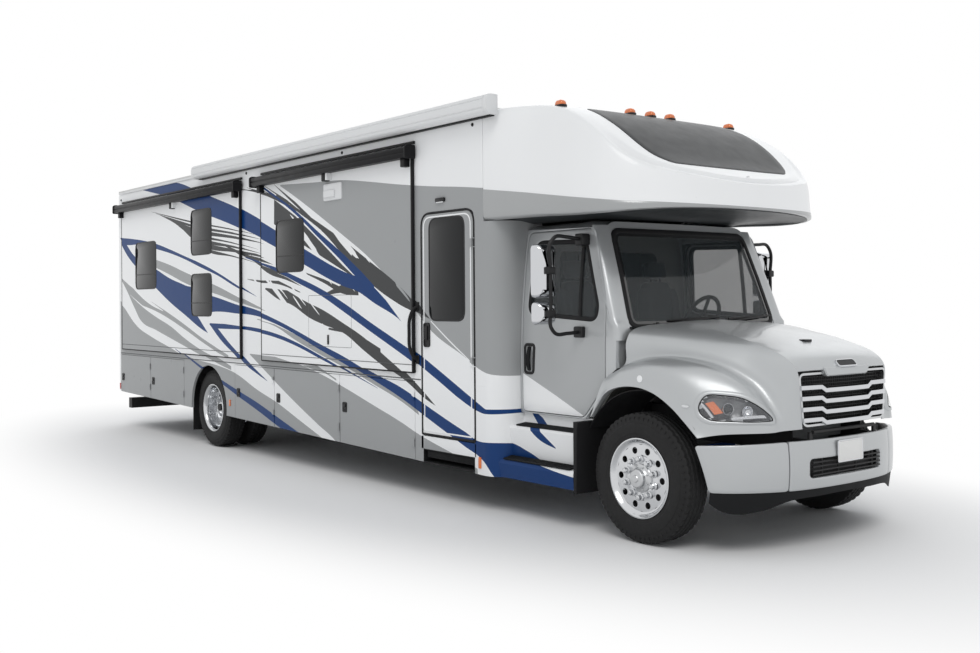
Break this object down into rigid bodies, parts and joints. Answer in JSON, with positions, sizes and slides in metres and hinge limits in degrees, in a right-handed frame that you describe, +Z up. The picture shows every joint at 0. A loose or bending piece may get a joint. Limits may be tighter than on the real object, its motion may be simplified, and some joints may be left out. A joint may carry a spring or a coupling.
{
  "type": "motorhome",
  "caption": "Bonneted-truck motorhome with overcab nose, slide-out rooms, entry door, baggage doors, tilting hood, steered front wheels and dual rear wheels.",
  "frame": {"origin": "centre of the footprint, on the ground under the tyres", "axes": "+X forward along the vehicle, +Y to its left, +Z up"},
  "size_m": [11.76, 2.96, 3.825],
  "materials": {
    "bay_liner": "matt",
    "chassis_black": "satin",
    "chrome": "polished",
    "clear_lens": "clear",
    "dark_plastic": "grained",
    "dark_trim": "satin",
    "engine_grey": "rough",
    "floor_panel": "matt",
    "grey_paint": "metallic clear coat",
    "mirror_chrome": "polished",
    "polished_alloy": "polished",
    "red_lens": "gloss",
    "roof_membrane": "matt",
    "seat_fabric": "woven",
    "silver_paint": "metallic clear coat",
    "tank_alloy": "brushed",
    "tinted_glass": "dark tint",
    "tyre": "matt",
    "white_gelcoat": "gloss gelcoat",
    "white_paint": "satin",
    "white_plastic": "satin"
  },
  "bodies": {
    "chassis": {"frame_rails": "chassis_black", "crossmembers": "chassis_black", "outriggers": "chassis_black", "axles": "chassis_black", "engine": "engine_grey", "fuel_tank": "tank_alloy", "hitch_receiver": "chassis_black", "front_bumper": "silver_paint", "cab_shell": "silver_paint", "fixed_glass": "tinted_glass", "seats": "seat_fabric", "dashboard": "dark_plastic", "cab_steps": "silver_paint", "coach_floor": "floor_panel", "side_walls": "white_gelcoat", "rear_wall": "white_gelcoat", "roof": "roof_membrane", "overcab": "white_gelcoat", "skirts": "grey_paint", "baggage_bays": "bay_liner", "roof_units": "white_plastic", "awning": "white_paint", "ladder": "dark_trim", "lamps": "red_lens"},
    "hood": {"hood": "silver_paint", "grille": "chrome", "headlamps": "clear_lens"},
    "cab_door_right": {"cab_door_right": "silver_paint", "cab_door_right_glass": "tinted_glass", "mirror_right": "mirror_chrome"},
    "cab_door_left": {"cab_door_left": "silver_paint", "cab_door_left_glass": "tinted_glass", "mirror_left": "mirror_chrome"},
    "entry_door": {"entry_door": "grey_paint", "entry_door_glass": "tinted_glass"},
    "entry_step": {"entry_step": "dark_trim"},
    "slideout_right_front": {"slideout_right_front": "white_gelcoat", "slideout_right_front_glass": "tinted_glass"},
    "slideout_right_rear": {"slideout_right_rear": "white_gelcoat", "slideout_right_rear_glass": "tinted_glass"},
    "slideout_left": {"slideout_left": "white_gelcoat", "slideout_left_glass": "tinted_glass"},
    "knuckle_right": {"knuckle_right": "chassis_black"},
    "knuckle_left": {"knuckle_left": "chassis_black"},
    "wheel_front_right": {"tyre_front_right": "tyre", "rim_front_right": "polished_alloy"},
    "wheel_front_left": {"tyre_front_left": "tyre", "rim_front_left": "polished_alloy"},
    "wheels_rear_right": {"tyres_rear_right": "tyre", "rims_rear_right": "polished_alloy"},
    "wheels_rear_left": {"tyres_rear_left": "tyre", "rims_rear_left": "polished_alloy"},
    "baggage_door_right_1": {"baggage_door_right_1": "grey_paint"},
    "baggage_door_right_2": {"baggage_door_right_2": "grey_paint"},
    "baggage_door_right_3": {"baggage_door_right_3": "grey_paint"},
    "baggage_door_right_4": {"baggage_door_right_4": "grey_paint"},
    "baggage_door_right_5": {"baggage_door_right_5": "grey_paint"},
    "baggage_door_left_1": {"baggage_door_left_1": "grey_paint"},
    "baggage_door_left_2": {"baggage_door_left_2": "grey_paint"},
    "baggage_door_left_3": {"baggage_door_left_3": "grey_paint"}
  },
  "joints": [
    {"name": "hood_tilt", "type": "hinge", "parent": "chassis", "child": "hood", "pos_m": [5.82, 0, 0.855], "axis": [0, 1, 0], "range_deg": [0, 75]},
    {"name": "cab_door_right_hinge", "type": "hinge", "parent": "chassis", "child": "cab_door_right", "pos_m": [4.375, -1.049, 1.4], "axis": [0, 0, 1], "range_deg": [0, 65]},
    {"name": "cab_door_left_hinge", "type": "hinge", "parent": "chassis", "child": "cab_door_left", "pos_m": [4.375, 1.049, 1.4], "axis": [0, 0, -1], "range_deg": [0, 65]},
    {"name": "entry_door_hinge", "type": "hinge", "parent": "chassis", "child": "entry_door", "pos_m": [2.99, -1.2915, 1.6], "axis": [0, 0, 1], "range_deg": [0, 100]},
    {"name": "entry_step_slide", "type": "slide", "parent": "chassis", "child": "entry_step", "axis": [0, -1, 0], "range_m": [0, 0.28]},
    {"name": "slideout_right_front_travel", "type": "slide", "parent": "chassis", "child": "slideout_right_front", "axis": [0, -1, 0], "range_m": [0, 0.6]},
    {"name": "slideout_right_rear_travel", "type": "slide", "parent": "chassis", "child": "slideout_right_rear", "axis": [0, -1, 0], "range_m": [0, 0.6]},
    {"name": "slideout_left_travel", "type": "slide", "parent": "chassis", "child": "slideout_left", "axis": [0, 1, 0], "range_m": [0, 0.6]},
    {"name": "steer_right", "type": "hinge", "parent": "chassis", "child": "knuckle_right", "pos_m": [4.86, -0.88, 0.49], "axis": [0, 0, 1], "range_deg": [-38, 38]},
    {"name": "spin_front_right", "type": "hinge", "parent": "knuckle_right", "child": "wheel_front_right", "pos_m": [4.86, -1.0575, 0.49], "axis": [0, 1, 0], "continuous": true},
    {"name": "spin_rear_right", "type": "hinge", "parent": "chassis", "child": "wheels_rear_right", "pos_m": [-2.52, -1.0945, 0.49], "axis": [0, 1, 0], "continuous": true},
    {"name": "steer_left", "type": "hinge", "parent": "chassis", "child": "knuckle_left", "pos_m": [4.86, 0.88, 0.49], "axis": [0, 0, 1], "range_deg": [-38, 38]},
    {"name": "spin_front_left", "type": "hinge", "parent": "knuckle_left", "child": "wheel_front_left", "pos_m": [4.86, 1.0575, 0.49], "axis": [0, 1, 0], "continuous": true},
    {"name": "spin_rear_left", "type": "hinge", "parent": "chassis", "child": "wheels_rear_left", "pos_m": [-2.52, 1.0945, 0.49], "axis": [0, 1, 0], "continuous": true},
    {"name": "baggage_door_right_1_hinge", "type": "hinge", "parent": "chassis", "child": "baggage_door_right_1", "pos_m": [-4.439, -1.2915, 0.9], "axis": [0, 0, 1], "range_deg": [0, 90]},
    {"name": "baggage_door_right_2_hinge", "type": "hinge", "parent": "chassis", "child": "baggage_door_right_2", "pos_m": [-3.274, -1.2915, 0.9], "axis": [0, 0, 1], "range_deg": [0, 90]},
    {"name": "baggage_door_right_3_hinge", "type": "hinge", "parent": "chassis", "child": "baggage_door_right_3", "pos_m": [-0.73256, -1.2915, 0.9], "axis": [0, 0, 1], "range_deg": [0, 90]},
    {"name": "baggage_door_right_4_hinge", "type": "hinge", "parent": "chassis", "child": "baggage_door_right_4", "pos_m": [0.71512, -1.2915, 0.9], "axis": [0, 0, 1], "range_deg": [0, 90]},
    {"name": "baggage_door_right_5_hinge", "type": "hinge", "parent": "chassis", "child": "baggage_door_right_5", "pos_m": [2.086, -1.2915, 0.9], "axis": [0, 0, 1], "range_deg": [0, 90]},
    {"name": "baggage_door_left_1_hinge", "type": "hinge", "parent": "chassis", "child": "baggage_door_left_1", "pos_m": [-4.439, 1.2915, 0.9], "axis": [0, 0, -1], "range_deg": [0, 90]},
    {"name": "baggage_door_left_2_hinge", "type": "hinge", "parent": "chassis", "child": "baggage_door_left_2", "pos_m": [0.71512, 1.2915, 0.9], "axis": [0, 0, -1], "range_deg": [0, 90]},
    {"name": "baggage_door_left_3_hinge", "type": "hinge", "parent": "chassis", "child": "baggage_door_left_3", "pos_m": [2.086, 1.2915, 0.9], "axis": [0, 0, -1], "range_deg": [0, 90]}
  ]
}
